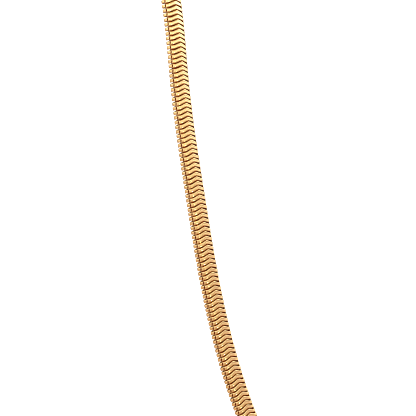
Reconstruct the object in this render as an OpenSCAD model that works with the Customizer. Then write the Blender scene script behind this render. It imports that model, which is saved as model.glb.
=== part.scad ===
// Herringbone chain necklace, held as it is worn: a flat chain with an end cap on
// each end, closed at the nape by a catch ring, a clasp and a jump ring.
// Millimetres, +Z up, the throat towards -Y. The origin is at the nape, in the
// middle of the closure.

/* [Chain] */
// Width of the flat chain, edge to edge
chain_w = 4.5; // [3.5:0.1:6]
// Thickness of the chain, crown to back
chain_t = 2.2; // [1.6:0.1:3]

/* [End caps] */
// Length of an end cap without its eye
cap_l = 5; // [4:0.1:8]
// Wall of an end cap
cap_wall = 0.35; // [0.25:0.05:0.6]
// Thickness of the plate that closes an end cap
cap_plate = 0.6; // [0.4:0.1:1]
// Gap between a cap's pocket and the chain in it
cap_gap = 0.12; // [0.08:0.01:0.2]
// Slanted edge round a cap's closed end
cap_bevel = 0.5; // [0.2:0.05:0.8]

/* [Eyes and rings] */
// Wire diameter of the eyes on the caps and the clasp
eye_wire = 0.8; // [0.6:0.05:1]
// Hole diameter of the eyes
eye_hole = 1.4; // [1.4:0.05:1.8]
// Wire diameter of the jump ring and the catch ring
ring_wire = 0.7; // [0.5:0.05:0.9]
// Gap between two wires that link
link_gap = 0.25; // [0.15:0.05:0.4]

/* [Clasp] */
// Width of the clasp's claw, outside
claw_w = 6.2; // [5.6:0.1:8]
// Wire diameter of the claw
claw_wire = 1.6; // [1.2:0.1:1.8]
// Length of the clasp's body, from the claw's outside to the eye
body_l = 3.6; // [2.5:0.1:6]
// Diameter of the body at the claw
body_claw_d = 2.2; // [1.8:0.1:2.8]
// Diameter of the body at the eye
body_eye_d = 1.4; // [1.1:0.1:1.8]
// Length of the thumb nub on the clasp's side
nub_l = 1.2; // [0.8:0.1:1.6]
// Diameter of the thumb nub
nub_d = 0.9; // [0.6:0.1:1.2]

/* [Hidden] */
gold = "goldenrod";
$fn = 48;

// Route of the chain's middle line over the left half, from nape to throat. The
// right half mirrors it. Columns: place x, y, z and the way the crown faces x, y, z.
ROUTE = [
    [0, 0, 0, 0, 1, 0],
    [-16, 0, 0, 0, 1, 0],
    [-32, 0, 0, 0, 1, 0],
    [-46, -10, -2, -0.5, 0.7, 0.5],
    [-52, -26.5, -5.5, -0.7, 0.1, 0.7],
    [-52, -44, -10, -0.4, -0.4, 0.8],
    [-51.5, -59.5, -21, 0.1, -0.8, 0.5],
    [-54.5, -65, -43.5, 0.2, -1, 0.2],
    [-54.5, -70, -62, 0.12, -1, 0.2],
    [-54.8, -75.8, -83.5, 0.1, -1, 0.3],
    [-53, -84, -105, 0.1, -1, 0.4],
    [-46, -92.5, -124.5, 0.1, -1, 0.4],
    [-26.5, -98.5, -137, 0.05, -1, 0.4],
    [0, -100.5, -141, 0, -1, 0.4],
];
HALF = len(ROUTE) - 1;
TURN = 2 * HALF;

// Point i of the closed loop, counted from the nape over the left side
function knot(i) =
    let (k = (i % TURN + TURN) % TURN, p = ROUTE[k <= HALF ? k : TURN - k])
    k <= HALF ? p : [-p[0], p[1], p[2], -p[3], p[4], p[5]];

// Smooth cubic spline near the loop's points
function spline(u) =
    let (i = floor(u), f = u - i, g = 1 - f)
    (g * g * g * knot(i - 1) + (3 * f * f * f - 6 * f * f + 4) * knot(i)
        + (3 * g * g * g - 6 * g * g + 4) * knot(i + 1) + f * f * f * knot(i + 2)) / 6;
function place(u) = let (p = spline(u)) [p[0], p[1], p[2]];
function unit(v) = v / norm(v);

// Directions at u as rows: along the chain, across it, and out of its crown
function frame(u) =
    let (q = spline(u), face = [q[3], q[4], q[5]],
        along = unit(place(u + 0.01) - place(u - 0.01)),
        crown = unit(face - (face * along) * along))
    [along, cross(crown, along), crown];

// Table of the length along the loop against u, and the length of the whole loop
STEPS = 20;
METER = [for (i = 0, s = 0; i <= TURN * STEPS;
    s = s + norm(place((i + 1) / STEPS) - place(i / STEPS)), i = i + 1) [s, i / STEPS]];
LOOP_L = METER[TURN * STEPS][0];
function u_at(s) = lookup(s < 0 ? s + LOOP_L : s, METER);

// Children set at length s along the loop: X along the chain, Z out of its crown
module on_route(s) {
    u = u_at(s);
    p = place(u);
    a = frame(u);
    multmatrix([
        [a[0][0], a[1][0], a[2][0], p[0]],
        [a[0][1], a[1][1], a[2][1], p[1]],
        [a[0][2], a[1][2], a[2][2], p[2]],
        [0, 0, 0, 1],
    ]) children();
}

// Cushion outline of the chain's cross-section, grown by a margin
SIDES = 16;
function cushion(grow, n) =
    [for (i = [0:n - 1]) let (a = (i + 0.5) * 360 / n)
        [(chain_w / 2 + grow) * cos(a), (chain_t / 2 + grow) * sin(a)]];

// Lengths along the closure, counted from the middle of the claw
eye_r = (eye_hole + eye_wire) / 2;
claw_r = (claw_w - claw_wire) / 2;
// The catch ring reaches from the claw's hole, past the claw's wire, to an eye's middle
catch_reach = claw_w / 2 - claw_wire - link_gap - ring_wire / 2;
catch_r = (ring_wire / 2 + claw_wire + 3 * link_gap + eye_wire + eye_hole / 2) / 2;
// The jump ring reaches from one eye's middle to the next
jump_r = eye_r + eye_wire / 2 + link_gap;
// An eye's middle lies this far from its cap's plate, a quarter wire sunk in for solder
eye_set = eye_r + eye_wire / 4;
clasp_eye = claw_w / 2 + body_l + eye_r;
left_eye = clasp_eye + 2 * jump_r;
right_eye = catch_reach + 2 * catch_r;
left_end = left_eye + eye_set + cap_l;
right_end = right_eye + eye_set + cap_l;
// Middle of the claw, so that both ends of the closure lie as far from the nape
claw_s = (right_end - left_end) / 2;
end_s = (left_end + right_end) / 2;
// The chain starts at the bottom of a cap's pocket
chain_s = end_s - cap_l + cap_plate + cap_gap;

// Sweep of the cushion along the loop, from cap to cap
RINGS = 76;
module chain() {
    stations = [for (i = [0:RINGS]) chain_s + (LOOP_L - 2 * chain_s) * i / RINGS];
    outline = cushion(0, SIDES);
    points = [for (s = stations) let (u = u_at(s), p = place(u), a = frame(u))
        for (q = outline) p + q[0] * a[1] + q[1] * a[2]];
    sides = [for (i = [0:RINGS - 1]) for (j = [0:SIDES - 1]) let (k = (j + 1) % SIDES)
        [i * SIDES + j, (i + 1) * SIDES + j, (i + 1) * SIDES + k, i * SIDES + k]];
    first = [for (j = [0:SIDES - 1]) j];
    last = [for (j = [SIDES - 1:-1:0]) RINGS * SIDES + j];
    color(gold) polyhedron(points, concat([first], sides, [last]), convexity = 8);
}

// Round wire bent to a ring around Z
module wire_ring(middle_r, wire) {
    rotate_extrude() translate([middle_r, 0]) circle(d = wire);
}

// End cap with its plate at the origin, open towards +X, and its eye on the other side
module cap() {
    outer = cap_gap + cap_wall;
    rotate([90, 0, 90]) difference() {
        hull() {
            translate([0, 0, cap_bevel]) linear_extrude(cap_l - cap_bevel)
                polygon(cushion(outer, $fn));
            linear_extrude(cap_bevel) polygon(cushion(outer - cap_bevel, $fn));
        }
        translate([0, 0, cap_plate]) linear_extrude(cap_l) polygon(cushion(cap_gap, $fn));
    }
    translate([-eye_set, 0, 0]) wire_ring(eye_r, eye_wire);
}
module end_cap_left() {
    color(gold) on_route(end_s - cap_l) cap();
}
module end_cap_right() {
    color(gold) on_route(cap_l - end_s) rotate([0, 0, 180]) cap();
}

// Plain ring between the clasp's eye and the left cap's eye
module jump_ring() {
    color(gold) on_route(claw_s + clasp_eye + jump_r) rotate([90, 0, 0])
        wire_ring(jump_r, ring_wire);
}
// Larger ring on the right cap's eye, held in the claw
module catch_ring() {
    color(gold) on_route(claw_s - catch_reach - catch_r) rotate([90, 0, 0])
        wire_ring(catch_r, ring_wire);
}

// Claw, body, eye and thumb nub in one piece
module clasp() {
    color(gold) on_route(claw_s) {
        wire_ring(claw_r, claw_wire);
        translate([claw_r, 0, 0]) rotate([0, 90, 0])
            cylinder(h = clasp_eye - eye_r - claw_r, d1 = body_claw_d, d2 = body_eye_d);
        translate([clasp_eye, 0, 0]) wire_ring(eye_r, eye_wire);
        translate([claw_w / 2 + nub_l / 2, -body_claw_d / 2, 0]) rotate([0, 90, 0])
            cylinder(h = nub_l, d = nub_d);
    }
}

chain();
end_cap_left();
end_cap_right();
jump_ring();
catch_ring();
clasp();
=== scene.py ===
# Dresses the necklace's frame: the flat chain becomes its own links, the fittings get
# their gold, and a pale studio is set round them. Metres, +Z up, as in the frame.
import math
import random

import bmesh
import bpy
from bpy.props import FloatProperty, FloatVectorProperty, IntProperty, PointerProperty
from mathutils import Matrix, Vector


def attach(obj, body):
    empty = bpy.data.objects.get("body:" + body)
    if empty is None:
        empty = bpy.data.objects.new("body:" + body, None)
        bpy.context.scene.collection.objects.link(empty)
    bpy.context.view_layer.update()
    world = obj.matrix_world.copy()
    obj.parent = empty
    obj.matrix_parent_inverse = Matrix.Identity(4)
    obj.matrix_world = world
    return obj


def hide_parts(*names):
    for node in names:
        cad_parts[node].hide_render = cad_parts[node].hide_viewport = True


bl_info = {
    "name": "Herringbone chain",
    "version": (1, 0, 0),
    "blender": (4, 5, 0),
    "location": "View3D > Sidebar > Necklace",
    "description": "Links, gold and studio for a flat herringbone chain",
    "category": "Object",
}

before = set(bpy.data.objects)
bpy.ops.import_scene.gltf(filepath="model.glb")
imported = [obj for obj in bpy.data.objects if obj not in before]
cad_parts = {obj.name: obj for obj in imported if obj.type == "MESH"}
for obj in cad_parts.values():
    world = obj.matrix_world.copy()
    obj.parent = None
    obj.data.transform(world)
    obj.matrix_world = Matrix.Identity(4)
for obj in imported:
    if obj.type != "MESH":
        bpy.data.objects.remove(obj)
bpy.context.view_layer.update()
FITTINGS = ("end_cap_left", "end_cap_right", "jump_ring", "catch_ring", "clasp")

# Route of the chain's middle line over the left half, from nape to throat, in metres.
# The right half mirrors it. Columns: place x, y, z and the way the crown faces x, y, z.
ROUTE = [
    (0, 0, 0, 0, 1, 0),
    (-0.016, 0, 0, 0, 1, 0),
    (-0.032, 0, 0, 0, 1, 0),
    (-0.046, -0.010, -0.002, -0.5, 0.7, 0.5),
    (-0.052, -0.0265, -0.0055, -0.7, 0.1, 0.7),
    (-0.052, -0.044, -0.010, -0.4, -0.4, 0.8),
    (-0.0515, -0.0595, -0.021, 0.1, -0.8, 0.5),
    (-0.0545, -0.065, -0.0435, 0.2, -1, 0.2),
    (-0.0545, -0.070, -0.062, 0.12, -1, 0.2),
    (-0.0548, -0.0758, -0.0835, 0.1, -1, 0.3),
    (-0.053, -0.084, -0.105, 0.1, -1, 0.4),
    (-0.046, -0.0925, -0.1245, 0.1, -1, 0.4),
    (-0.0265, -0.0985, -0.137, 0.05, -1, 0.4),
    (0, -0.1005, -0.141, 0, -1, 0.4),
]
HALF = len(ROUTE) - 1
TURN = 2 * HALF
# Steps of the length table from one point of the route to the next
STEPS = 20
# Reach to either side, as a share of the way between two points, that gives the
# route's direction
NUDGE = 0.01
# Length along the loop from the nape to the chain's end, in a cap's pocket
CHAIN_START = 0.01022

# Stations round half a link's section, which the left half mirrors. Columns: angle from
# the crown's middle to the back's in degrees; as shares of the pitch, how far the band is
# swept back along the loop, its height, and what the right half has more of it and the
# left half less; in metres, how far its edges round off and how deep its walls go; the gap
# value, for painted shade and mattness, of its walls and of its face, which is highest in
# the dimples and a little on the side tabs' faces.
STATIONS = [
    (0, 0.57, 0.77, 0, 0.00003, 0.00028, 0.6, 0),
    (14, 0.36, 0.74, -0.01, 0.00003, 0.00028, 0.6, 0),
    (28, 0.15, 0.68, -0.04, 0.00003, 0.00030, 1.0, 0),
    (43, 0.02, 0.60, -0.11, 0.00003, 0.00030, 1.0, 0),
    (56, 0, 0.85, 0.07, 0.00003, 0.00025, 0.6, 0),
    (64, 0, 0.95, 0, 0.00006, 0.00045, 0.25, 1),
    (69, 0, 0.64, 0, 0.00004, 0.00040, 0, 0.16),
    (90, 0, 0.62, 0, 0.00004, 0.00040, 0, 0.16),
    (111, 0, 0.64, 0, 0.00004, 0.00040, 0, 0.16),
    (116, 0, 0.74, 0, 0.00008, 0.00060, 0.6, 1),
    (121, 0, 0.78, 0, 0.00010, 0.00062, 0.6, 0),
    (150, 0.13, 0.80, 0, 0.00012, 0.00046, 0.6, 0),
    (180, 0.47, 0.90, 0, 0.00012, 0.00042, 0.6, 0),
]
# Angles of the stations with a dimple, on both sides of the tab at the chain's edge
PITS = (64, 116)
# Gap value of a dimple's rim, as a share of its walls', which sets how the dimple's
# painted shade fades towards the rim
PIT_RIM = 0.12
# Profile of a band from its wall ahead on the loop to the one behind: (kind of point,
# share of half the height, share of the rounding)
PROFILE = [("wall", 0.80, 0), ("edge", 1.0, 1.0), ("crest", 1.0, 0.1),
           ("crest", -1.0, 0.1), ("edge", -1.0, 1.0), ("wall", -0.80, 0)]
# Share of the band's height that its flat middle takes: broad on the crown's right half,
# and a narrow ridge elsewhere
FLAT = 0.72
RIDGE = 0.16

# Stations round half the section of the nested necks that close the gaps, which the left
# half mirrors: (angle, depth below the outline in metres, gap value for painted shade on
# the left and on the right). They fill the crown's side and leave the tabs' side open,
# and their painted shade darkens the gaps between the bands.
NECKS = [
    (0, 0.00022, 0.5, 0.5), (14, 0.00022, 0.7, 0.6), (22, 0.00022, 0.9, 0.9),
    (34, 0.00018, 0.9, 1.0), (46, 0.00012, 0.6, 1.0), (54, 0.00006, 0.5, 1.0),
    (60, 0.00040, 0.6, 1.0), (80, 0.00080, 0.6, 0.8), (100, 0.00080, 0.6, 0.8),
    (125, 0.00055, 0.6, 0.6), (150, 0.00040, 0.6, 0.6), (180, 0.00036, 0.6, 0.6),
]
# Steps of the necks along the chain, from cap to cap
NECK_RINGS = 300

# The gap value, for painted shade and mattness, runs from 0 on a band's face to 1 deep in a
# gap. The surface is polished metal up to POLISH_END, has the gaps' painted shade, a dark
# red, at GAP_COLOUR, is fully matt from MATT_FROM on, and from GAP_DARKEST on it keeps only
# DARKEST_SHARE of that colour, as deeper painted shade.
POLISH_END = 0.12
GAP_COLOUR = 0.42
MATT_FROM = 0.45
GAP_DARKEST = 0.85
DARKEST_SHARE = 0.35
# Roughness that the deepest gap adds
GAP_ROUGHNESS = 0.4
# Fine line along the middle of a band: its depth in metres, and the surface's level from
# one edge of the band to the other, as (share of the way, 1 on the face and 0 at the
# line's bottom)
LINE_DEPTH = 0.00004
LINE_LEVELS = [(0.0, 1), (0.25, 1), (0.5, 0), (0.75, 1), (1.0, 1)]

# Light tent: heights of its rings, radius and middle in metres, number of its sides, and
# the window between its middle rings for the key lamp, in degrees from the front
TENT_RINGS = [-0.2, -0.14, -0.045, 0.10]
TENT_RADIUS = 0.15
TENT_MIDDLE = (0, -0.05, 0)
TENT_SIDES = 72
WINDOW = (-15, 0)
# Light of the tent from its foot to its top: (share of its height, red, green, blue)
TENT_TONES = [
    (0.0, 0.80, 0.62, 0.48), (0.23, 0.80, 0.62, 0.48), (0.33, 0.72, 0.57, 0.52),
    (0.42, 0.64, 0.54, 0.53), (0.50, 0.80, 0.72, 0.70), (0.58, 1.02, 1.04, 1.0),
    (0.66, 1.40, 1.52, 1.42), (0.80, 2.0, 2.3, 2.3), (0.87, 1.8, 2.0, 2.0),
    (0.95, 0.8, 0.8, 0.8),
]
# What that light is multiplied by round the tent: (degrees from the front, red, green, blue)
TENT_PANELS = [
    (-180, 0.45, 0.45, 0.45), (-150, 0.8, 0.8, 0.8), (-125, 1.1, 1.1, 1.1),
    (-62, 1.1, 1.1, 1.1), (-33, 0.85, 0.85, 0.83), (0, 0.87, 0.87, 0.88),
    (44, 0.98, 1.0, 1.14), (65, 1.36, 1.42, 1.6), (88, 1.78, 2.4, 2.9),
    (112, 1.65, 2.25, 2.7), (130, 0.5, 0.5, 0.5), (150, 0.8, 0.8, 0.8),
    (180, 0.45, 0.45, 0.45),
]
# Lamps: (name, degrees from the front, degrees up, distance and size in metres, watts)
LAMPS = [("key", 16, -9, 0.6, 0.06, 0.55), ("top", 0, 90, 0.9, 0.8, 0.5)]
# Half the width of the floor
FLOOR_REACH = 4.0
WHITE = (1, 1, 1, 1)
PAPER = (0.62, 0.54, 0.47, 1)
ROOM_TINT = (1.0, 0.98, 0.95, 1)


class LinkSizes(bpy.types.PropertyGroup):
    """Sizes and play of the links"""
    width: FloatProperty(
        name="Width", description="Width of the flat chain", default=0.0045, unit="LENGTH")
    thickness: FloatProperty(
        name="Thickness", description="Thickness of the chain, crown to back",
        default=0.0022, unit="LENGTH")
    pitch: FloatProperty(
        name="Pitch", description="Length of the chain that one link takes up",
        default=0.000841, precision=6, unit="LENGTH")
    pit: FloatProperty(
        name="Pit depth", description="Depth of the dimples between band and side tab",
        default=0.00016, precision=6, unit="LENGTH")
    play: FloatProperty(
        name="Play", description="Random tilt of a link in the chain", default=0.010,
        subtype="ANGLE")
    seed: IntProperty(name="Seed", description="Seed of the links' play", default=7)


class GoldColours(bpy.types.PropertyGroup):
    """Colours and polish of the gold, and the dark red of the painted shade in its gaps"""
    polished: FloatVectorProperty(
        name="Polished gold", description="Colour of the bands", subtype="COLOR",
        size=4, min=0, max=1, default=(1.0, 0.66, 0.285, 1.0))
    # Painted shade: this dark red stands for the shade between the bands, not for a colour of
    # the gold.
    gap_shade: FloatVectorProperty(
        name="Gold in the gaps", description="Colour of the gold between bands",
        subtype="COLOR", size=4, min=0, max=1, default=(0.24, 0.024, 0.003, 1.0))
    edge: FloatVectorProperty(
        name="Gold at a slant", description="Tint of the gold seen at a slant",
        subtype="COLOR", size=4, min=0, max=1, default=(1.0, 0.95, 0.86, 1.0))
    roughness: FloatProperty(
        name="Roughness", description="Roughness of the polished gold", default=0.16,
        min=0, max=1, subtype="FACTOR")


class StudioSettings(bpy.types.PropertyGroup):
    """Camera, room light and floor"""
    azimuth: FloatProperty(
        name="Azimuth", description="Camera's turn from the front", default=math.radians(-38),
        subtype="ANGLE")
    elevation: FloatProperty(
        name="Elevation", description="Camera's height angle", default=math.radians(16),
        subtype="ANGLE")
    distance: FloatProperty(
        name="Distance", description="Camera's distance from the strand", default=0.4,
        unit="LENGTH")
    target: FloatVectorProperty(
        name="Target", description="Point at the middle of the view", subtype="TRANSLATION",
        size=3, default=(-0.053, -0.072, -0.065))
    lens: FloatProperty(
        name="Focal length", description="Focal length in millimetres", default=190.2,
        unit="CAMERA")
    room: FloatProperty(
        name="Room light", description="Brightness of the room outside the tent",
        default=0.72)
    floor: FloatProperty(
        name="Floor height", description="Height of the floor", default=-0.2, unit="LENGTH")


def knot(i):
    """Point i of the closed loop, counted from the nape over the left side."""
    k = i % TURN
    if k <= HALF:
        return Vector(ROUTE[k])
    x, y, z, face_x, face_y, face_z = ROUTE[TURN - k]
    return Vector((-x, y, z, -face_x, face_y, face_z))


def spline(u):
    """Smooth cubic spline near the loop's points: place and the crown's way in one."""
    i = math.floor(u)
    f = u - i
    g = 1 - f
    return (g ** 3 * knot(i - 1) + (3 * f ** 3 - 6 * f * f + 4) * knot(i)
            + (3 * g ** 3 - 6 * g * g + 4) * knot(i + 1) + f ** 3 * knot(i + 2)) / 6


def place(u):
    """Place of the middle line at u."""
    return Vector(spline(u)[:3])


def route_table():
    """Length along the loop at every step of u."""
    lengths = [0.0]
    here = place(0)
    for i in range(TURN * STEPS):
        there = place((i + 1) / STEPS)
        lengths.append(lengths[-1] + (there - here).length)
        here = there
    return lengths


LENGTHS = route_table()
LOOP = LENGTHS[-1]
CHAIN = LOOP - 2 * CHAIN_START


def u_at(s):
    """Spline parameter at length s along the loop."""
    s %= LOOP
    low, high = 0, len(LENGTHS) - 1
    while high - low > 1:
        middle = (low + high) // 2
        if LENGTHS[middle] <= s:
            low = middle
        else:
            high = middle
    return (low + (s - LENGTHS[low]) / (LENGTHS[high] - LENGTHS[low])) / STEPS


def on_route(s):
    """Matrix at length s: X across the chain, Y out of its crown, Z along it."""
    u = u_at(s)
    along = (place(u + NUDGE) - place(u - NUDGE)).normalized()
    face = Vector(spline(u)[3:])
    crown = (face - face.dot(along) * along).normalized()
    across = crown.cross(along)
    turn = Matrix((across, crown, along)).transposed().to_4x4()
    return Matrix.Translation(place(u)) @ turn


def whole_ring(half):
    """The rows of half a section and their mirror, all round."""
    return half + [(-row[0], *row[1:]) for row in half[-2:0:-1]]


def as_mesh(name, bm):
    """The bmesh as a mesh."""
    mesh = bpy.data.meshes.new(name)
    bm.to_mesh(mesh)
    bm.free()
    return mesh


def new_object(name, mesh, material):
    """An object at the origin with its mesh and its material."""
    thing = bpy.data.objects.new(name, mesh)
    bpy.context.scene.collection.objects.link(thing)
    mesh.materials.append(material)
    return thing


def new_piece(name, mesh, material):
    """A finished piece at the origin that stands for the chain."""
    piece = new_object(name, mesh, material)
    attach(piece, "root")
    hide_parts("chain")


def new_loop(made):
    """The loop that an extrusion made: its corners and its edges."""
    loop = [g for g in made["geom"] if isinstance(g, bmesh.types.BMVert)]
    new = set(loop)
    edges = [g for g in made["geom"] if isinstance(g, bmesh.types.BMEdge)
             and g.verts[0] in new and g.verts[1] in new]
    return loop, edges


def numbered_bmesh(count):
    """A bmesh with a circle whose corners know their station. It is returned with its
    layers for the station, for the gap value that sets a corner's painted shade and
    mattness and for its place across the band, and with the circle's corners and edges.
    Their real places are set later."""
    bm = bmesh.new()
    number = bm.verts.layers.int.new("station")
    gap = bm.verts.layers.float.new("gap")
    rib = bm.verts.layers.float.new("rib")
    loop = bmesh.ops.create_circle(bm, segments=count, radius=0.001)["verts"]
    for i, vert in enumerate(loop):
        vert[number] = i
    return bm, number, gap, rib, loop, list(bm.edges)


def finished_mesh(name, bm):
    """The bmesh as a mesh with smooth sides that face outwards."""
    bmesh.ops.recalc_face_normals(bm, faces=bm.faces)
    for face in bm.faces:
        face.smooth = len(face.verts) == 4
    return as_mesh(name, bm)


def link_mesh(sizes):
    """One link at the origin: a closed ring, extruded loop by loop round its profile."""
    stations = whole_ring(STATIONS)
    bm, number, gap, rib, loop, edges = numbered_bmesh(len(stations))
    first = edges
    for step, (kind, share, rounding) in enumerate(PROFILE):
        if step:
            loop, edges = new_loop(bmesh.ops.extrude_edge_only(bm, edges=edges))
        for vert in loop:
            angle, sweep, height, more, drop, deep, gap_shade, dull = stations[vert[number]]
            height += more if angle > 0 else -more
            pit = abs(angle) in PITS
            reach = share
            # The gap value that each corner gets sets its painted shade: on the walls, the
            # dimples' rims and the faces.
            if kind == "wall":
                sink = deep
                vert[gap] = gap_shade
            elif kind == "edge":
                sink = drop * rounding
                vert[gap] = PIT_RIM * gap_shade if pit else dull
            else:
                sink = drop * rounding + (sizes.pit if pit else 0)
                vert[gap] = dull
                reach *= FLAT if 0 <= angle < PITS[0] else RIDGE
            vert[rib] = 0.5 + 0.5 * reach
            bend = math.radians(angle)
            vert.co = ((sizes.width / 2 - sink) * math.sin(bend),
                       (sizes.thickness / 2 - sink) * math.cos(bend),
                       sizes.pitch * (height * reach / 2 - sweep))
    bmesh.ops.bridge_loops(bm, edges=first + edges)
    return finished_mesh("link", bm)


class NECKLACE_OT_links(bpy.types.Operator):
    """Lay the links round the loop, from cap to cap"""
    bl_idname = "necklace.links"
    bl_label = "Chain links"

    def execute(self, context):
        sizes = context.scene.link_sizes
        shake = random.Random(sizes.seed)
        pattern = link_mesh(sizes)
        count = round(CHAIN / sizes.pitch) - 1
        if count < 1:
            raise ValueError("the pitch leaves no room for a link")
        bm = bmesh.new()
        for i in range(count):
            s = CHAIN_START + CHAIN * (i + 1) / (count + 1)
            tilt = [shake.gauss(0, sizes.play) for _ in range(3)]
            play = (Matrix.Rotation(tilt[0], 4, "X") @ Matrix.Rotation(tilt[1], 4, "Y")
                    @ Matrix.Rotation(tilt[2], 4, "Z"))
            link = pattern.copy()
            link.transform(on_route(s) @ play)
            bm.from_mesh(link)
            bpy.data.meshes.remove(link)
        bpy.data.meshes.remove(pattern)
        new_piece("chain_links", as_mesh("chain_links", bm),
                  link_gold(context.scene.gold_colours))
        return {"FINISHED"}


class NECKLACE_OT_core(bpy.types.Operator):
    """Close the gaps between the bands with the nested necks behind them, darkened with painted
    shade
    """
    bl_idname = "necklace.core"
    bl_label = "Nested necks"

    def execute(self, context):
        sizes = context.scene.link_sizes
        section = whole_ring(NECKS)
        bm, number, gap, rib, loop, edges = numbered_bmesh(len(section))
        bmesh.ops.contextual_create(bm, geom=edges)
        for step in range(NECK_RINGS + 1):
            if step:
                loop, edges = new_loop(bmesh.ops.extrude_edge_only(bm, edges=edges))
            where = on_route(CHAIN_START + CHAIN * step / NECK_RINGS)
            for vert in loop:
                angle, depth, left, right = section[vert[number]]
                bend = math.radians(angle)
                vert.co = where @ Vector(((sizes.width / 2 - depth) * math.sin(bend),
                                          (sizes.thickness / 2 - depth) * math.cos(bend), 0))
                # Painted shade on the necks, set by their gap value
                vert[gap] = right if angle > 0 else left
                vert[rib] = 1.0
        bmesh.ops.contextual_create(bm, geom=edges)
        new_piece("chain_necks", finished_mesh("chain_necks", bm),
                  link_gold(context.scene.gold_colours))
        return {"FINISHED"}


def add_node(tree, kind, operation=None, **values):
    """A new node whose sockets get plain values by name."""
    node = tree.nodes.new(kind)
    if operation:
        node.operation = operation
    for name, value in values.items():
        node.inputs[name.replace("_", " ")].default_value = value
    return node


def colour_ramp(tree, factor, stops, interpolation="LINEAR"):
    """Output of a new colour ramp along a factor. Its stops are (position, colour)."""
    ramp = tree.nodes.new("ShaderNodeValToRGB")
    ramp.color_ramp.interpolation = interpolation
    elements = ramp.color_ramp.elements
    elements[0].position, elements[1].position = stops[0][0], stops[-1][0]
    for position, _ in stops[1:-1]:
        elements.new(position)
    for element, (_, colour) in zip(elements, stops):
        element.color = (*colour, 1)
    tree.links.new(factor, ramp.inputs["Fac"])
    return ramp.outputs["Color"]


def attribute(tree, name):
    """Output of one of the piece's own attributes."""
    node = tree.nodes.new("ShaderNodeAttribute")
    node.attribute_name = name
    return node.outputs["Fac"]


def gold_base(name, colours):
    """A gold with what its roughness and fine wear are made of: the material, its shader,
    the cloudy noise, the roughness and the worn surface's normal."""
    material = bpy.data.materials.new(name)
    material.use_nodes = True
    tree = material.node_tree
    link = tree.links.new
    gold = tree.nodes["Principled BSDF"]
    gold.inputs["Metallic"].default_value = 1.0
    gold.inputs["Specular Tint"].default_value = colours.edge
    where = tree.nodes.new("ShaderNodeTexCoord").outputs["Object"]
    cloud = add_node(tree, "ShaderNodeTexNoise", Scale=900.0, Detail=3.0)
    link(where, cloud.inputs["Vector"])
    rough = add_node(tree, "ShaderNodeMapRange", From_Min=0.3, From_Max=0.7,
                     To_Min=colours.roughness * 0.8, To_Max=colours.roughness * 1.3)
    link(cloud.outputs["Fac"], rough.inputs["Value"])
    scratch = add_node(tree, "ShaderNodeTexNoise", Scale=5000.0, Detail=2.0)
    link(where, scratch.inputs["Vector"])
    wear = add_node(tree, "ShaderNodeBump", Strength=0.03, Distance=0.0001)
    link(scratch.outputs["Fac"], wear.inputs["Height"])
    return material, gold, cloud.outputs["Fac"], rough.outputs["Result"], wear.outputs["Normal"]


def link_gold(colours):
    """Polished gold on the bands, with painted shade in the gaps and the dimples: dark red,
    darker deeper in, matt and not metallic.
    """
    if "link_gold" in bpy.data.materials:
        return bpy.data.materials["link_gold"]
    material, gold, _, rough, worn = gold_base("link_gold", colours)
    tree = material.node_tree
    link = tree.links.new
    gap = attribute(tree, "gap")
    gap_shade = colours.gap_shade[:3]
    # Painted shade: the gap value turns the polished gold dark red and then darker, and makes
    # it matt and not metallic, so that the gaps, the necks and the dimples look shaded.
    tone = colour_ramp(tree, gap, [(POLISH_END, colours.polished[:3]), (GAP_COLOUR, gap_shade),
                                   (GAP_DARKEST, [DARKEST_SHARE * c for c in gap_shade])])
    link(tone, gold.inputs["Base Color"])
    dull = add_node(tree, "ShaderNodeMath", "MULTIPLY_ADD")
    dull.inputs[1].default_value = GAP_ROUGHNESS
    link(gap, dull.inputs[0])
    link(rough, dull.inputs[2])
    link(dull.outputs["Value"], gold.inputs["Roughness"])
    bare = add_node(tree, "ShaderNodeMapRange", From_Min=POLISH_END, From_Max=MATT_FROM,
                    To_Min=1.0, To_Max=0.0)
    link(gap, bare.inputs["Value"])
    link(bare.outputs["Result"], gold.inputs["Metallic"])
    gold.inputs["Specular IOR Level"].default_value = 0.0
    level = colour_ramp(tree, attribute(tree, "rib"),
                        [(share, (height,) * 3) for share, height in LINE_LEVELS], "B_SPLINE")
    line = add_node(tree, "ShaderNodeBump", Strength=1.0, Distance=LINE_DEPTH)
    link(level, line.inputs["Height"])
    link(worn, line.inputs["Normal"])
    link(line.outputs["Normal"], gold.inputs["Normal"])
    return material


def cast_gold(colours):
    """The same gold on the fittings, with a little tone in it."""
    material, gold, cloud, rough, worn = gold_base("cast_gold", colours)
    tree = material.node_tree
    polished = colours.polished[:3]
    tone = colour_ramp(tree, cloud, [(0.3, [0.94 * c for c in polished]), (0.7, polished)])
    tree.links.new(tone, gold.inputs["Base Color"])
    tree.links.new(rough, gold.inputs["Roughness"])
    tree.links.new(worn, gold.inputs["Normal"])
    return material


class NECKLACE_OT_fittings(bpy.types.Operator):
    """Give the caps, the rings and the clasp their gold"""
    bl_idname = "necklace.fittings"
    bl_label = "Fittings' gold"

    def execute(self, context):
        material = cast_gold(context.scene.gold_colours)
        for name in FITTINGS:
            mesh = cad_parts[name].data
            mesh.materials.clear()
            mesh.materials.append(material)
        return {"FINISHED"}


def pale_paper():
    """Pale paper that the camera sees as plain white."""
    paper = bpy.data.materials.new("pale_paper")
    paper.use_nodes = True
    tree = paper.node_tree
    sheet = tree.nodes["Principled BSDF"]
    sheet.inputs["Base Color"].default_value = PAPER
    sheet.inputs["Roughness"].default_value = 0.9
    sheet.inputs["Specular IOR Level"].default_value = 0.1
    sheet.inputs["Emission Color"].default_value = WHITE
    seen = tree.nodes.new("ShaderNodeLightPath")
    tree.links.new(seen.outputs["Is Camera Ray"], sheet.inputs["Emission Strength"])
    return paper


def lay_floor(settings):
    """The floor below the necklace."""
    bm = bmesh.new()
    bmesh.ops.create_grid(bm, x_segments=2, y_segments=2, size=FLOOR_REACH)
    bmesh.ops.translate(bm, verts=bm.verts, vec=(0, 0, settings.floor))
    floor = new_object("floor", as_mesh("floor", bm), pale_paper())


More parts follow.
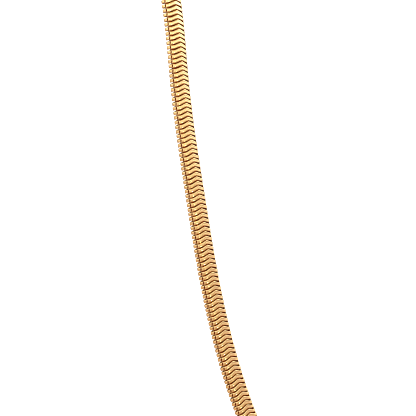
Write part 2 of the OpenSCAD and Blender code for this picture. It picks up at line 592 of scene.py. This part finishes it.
def light_room(settings):
    """Soft light from the whole room, which the camera sees as plain white."""
    world = bpy.data.worlds.new("studio")
    bpy.context.scene.world = world
    world.use_nodes = True
    tree = world.node_tree
    link = tree.links.new
    room = tree.nodes["Background"]
    room.inputs["Color"].default_value = ROOM_TINT
    room.inputs["Strength"].default_value = settings.room
    backdrop = add_node(tree, "ShaderNodeBackground", Color=WHITE, Strength=1.0)
    seen = tree.nodes.new("ShaderNodeLightPath")
    mix = tree.nodes.new("ShaderNodeMixShader")
    link(seen.outputs["Is Camera Ray"], mix.inputs["Fac"])
    link(room.outputs["Background"], mix.inputs[1])
    link(backdrop.outputs["Background"], mix.inputs[2])
    link(mix.outputs["Shader"], tree.nodes["World Output"].inputs["Surface"])


def tent_cloth():
    """Lit cloth: its tone over the tent's height times its tint round the tent."""
    cloth = bpy.data.materials.new("tent_cloth")
    cloth.use_nodes = True
    tree = cloth.node_tree
    link = tree.links.new
    tree.nodes.remove(tree.nodes["Principled BSDF"])
    where = tree.nodes.new("ShaderNodeTexCoord")
    split = tree.nodes.new("ShaderNodeSeparateXYZ")
    link(where.outputs["Object"], split.inputs["Vector"])
    height = add_node(tree, "ShaderNodeMapRange", From_Min=TENT_RINGS[0],
                      From_Max=TENT_RINGS[-1], To_Min=0.0, To_Max=1.0)
    link(split.outputs["Z"], height.inputs["Value"])
    tone = colour_ramp(tree, height.outputs["Result"],
                       [(share, colour) for share, *colour in TENT_TONES])
    front = add_node(tree, "ShaderNodeMath", "MULTIPLY")
    front.inputs[1].default_value = -1.0
    link(split.outputs["Y"], front.inputs[0])
    side = add_node(tree, "ShaderNodeMath", "ARCTAN2")
    link(split.outputs["X"], side.inputs[0])
    link(front.outputs["Value"], side.inputs[1])
    turn = add_node(tree, "ShaderNodeMapRange", From_Min=-math.pi, From_Max=math.pi,
                    To_Min=0.0, To_Max=1.0)
    link(side.outputs["Value"], turn.inputs["Value"])
    tint = colour_ramp(tree, turn.outputs["Result"],
                       [((degrees + 180) / 360, colour) for degrees, *colour in TENT_PANELS])
    both = add_node(tree, "ShaderNodeVectorMath", "MULTIPLY")
    link(tone, both.inputs[0])
    link(tint, both.inputs[1])
    glow = tree.nodes.new("ShaderNodeEmission")
    link(both.outputs["Vector"], glow.inputs["Color"])
    link(glow.outputs["Emission"], tree.nodes["Material Output"].inputs["Surface"])
    return cloth


def in_window(face):
    """Whether a face of the tent lies in the key lamp's window."""
    x, y, z = face.calc_center_median()
    return (TENT_RINGS[1] < z < TENT_RINGS[2]
            and WINDOW[0] < math.degrees(math.atan2(x, -y)) < WINDOW[1])


def light_tent():
    """A round tent of lit cloth about the necklace, brighter at its top and right."""
    bm = bmesh.new()
    bmesh.ops.create_circle(bm, segments=TENT_SIDES, radius=TENT_RADIUS)
    bmesh.ops.translate(bm, verts=bm.verts, vec=(0, 0, TENT_RINGS[0]))
    edges = list(bm.edges)
    for low, high in zip(TENT_RINGS, TENT_RINGS[1:]):
        loop, edges = new_loop(bmesh.ops.extrude_edge_only(bm, edges=edges))
        bmesh.ops.translate(bm, verts=loop, vec=(0, 0, high - low))
    window = [face for face in bm.faces if in_window(face)]
    bmesh.ops.delete(bm, geom=window, context="FACES")
    tent = new_object("light_tent", as_mesh("light_tent", bm), tent_cloth())
    tent.location = TENT_MIDDLE
    tent.visible_camera = False


def way_to(azimuth, elevation):
    """Direction at a turn from the front and a height angle, in radians."""
    return Vector((math.sin(azimuth) * math.cos(elevation),
                   -math.cos(azimuth) * math.cos(elevation), math.sin(elevation)))


def set_up(name, data, target, way, reach):
    """A lamp or a camera at a reach from its target, turned to it."""
    thing = bpy.data.objects.new(name, data)
    thing.location = Vector(target) + reach * way
    thing.rotation_euler = (-way).to_track_quat("-Z", "Y").to_euler()
    bpy.context.scene.collection.objects.link(thing)
    return thing


def hang_lamps(settings):
    """The key lamp, which shines through the tent's window, and the soft one above."""
    for name, azimuth, elevation, reach, size, power in LAMPS:
        light = bpy.data.lights.new(name, "AREA")
        light.shape = "DISK"
        light.size = size
        light.energy = power
        way = way_to(math.radians(azimuth), math.radians(elevation))
        set_up(name, light, settings.target, way, reach)


def set_camera(settings):
    """The camera on the left strand, as in the photo."""
    camera = bpy.data.cameras.new("camera")
    camera.lens = settings.lens
    camera.sensor_width = 36
    camera.clip_start = 0.01
    way = way_to(settings.azimuth, settings.elevation)
    eye = set_up("camera", camera, settings.target, way, settings.distance)
    bpy.context.scene.camera = eye


class NECKLACE_OT_studio(bpy.types.Operator):
    """Set the pale floor, the soft light and the camera"""
    bl_idname = "necklace.studio"
    bl_label = "Studio"

    def execute(self, context):
        scene = context.scene
        settings = scene.studio_settings
        lay_floor(settings)
        light_room(settings)
        light_tent()
        hang_lamps(settings)
        set_camera(settings)
        scene.view_settings.view_transform = "Standard"
        scene.cycles.max_bounces = 12
        scene.cycles.glossy_bounces = 8
        scene.cycles.filter_width = 1.0
        return {"FINISHED"}


class NECKLACE_PT_panel(bpy.types.Panel):
    """Sizes, colours and steps of the necklace"""
    bl_idname = "NECKLACE_PT_panel"
    bl_label = "Herringbone chain"
    bl_space_type = "VIEW_3D"
    bl_region_type = "UI"
    bl_category = "Necklace"

    def draw(self, context):
        layout = self.layout
        scene = context.scene
        for title, group in (("Links", scene.link_sizes), ("Gold", scene.gold_colours),
                             ("Studio", scene.studio_settings)):
            box = layout.box()
            box.label(text=title)
            for name in group.__annotations__:
                box.prop(group, name)
        for operator in OPERATORS:
            layout.operator(operator.bl_idname)


GROUPS = {"link_sizes": LinkSizes, "gold_colours": GoldColours,
          "studio_settings": StudioSettings}
OPERATORS = (NECKLACE_OT_links, NECKLACE_OT_core, NECKLACE_OT_fittings, NECKLACE_OT_studio)


def register():
    for cls in (*GROUPS.values(), *OPERATORS, NECKLACE_PT_panel):
        bpy.utils.register_class(cls)
    for name, group in GROUPS.items():
        setattr(bpy.types.Scene, name, PointerProperty(type=group))


def unregister():
    for name in GROUPS:
        delattr(bpy.types.Scene, name)
    for cls in reversed((*GROUPS.values(), *OPERATORS, NECKLACE_PT_panel)):
        bpy.utils.unregister_class(cls)


def main():
    register()
    bpy.ops.necklace.links()
    bpy.ops.necklace.core()
    bpy.ops.necklace.fittings()
    bpy.ops.necklace.studio()


if __name__ == "__main__":
    main()
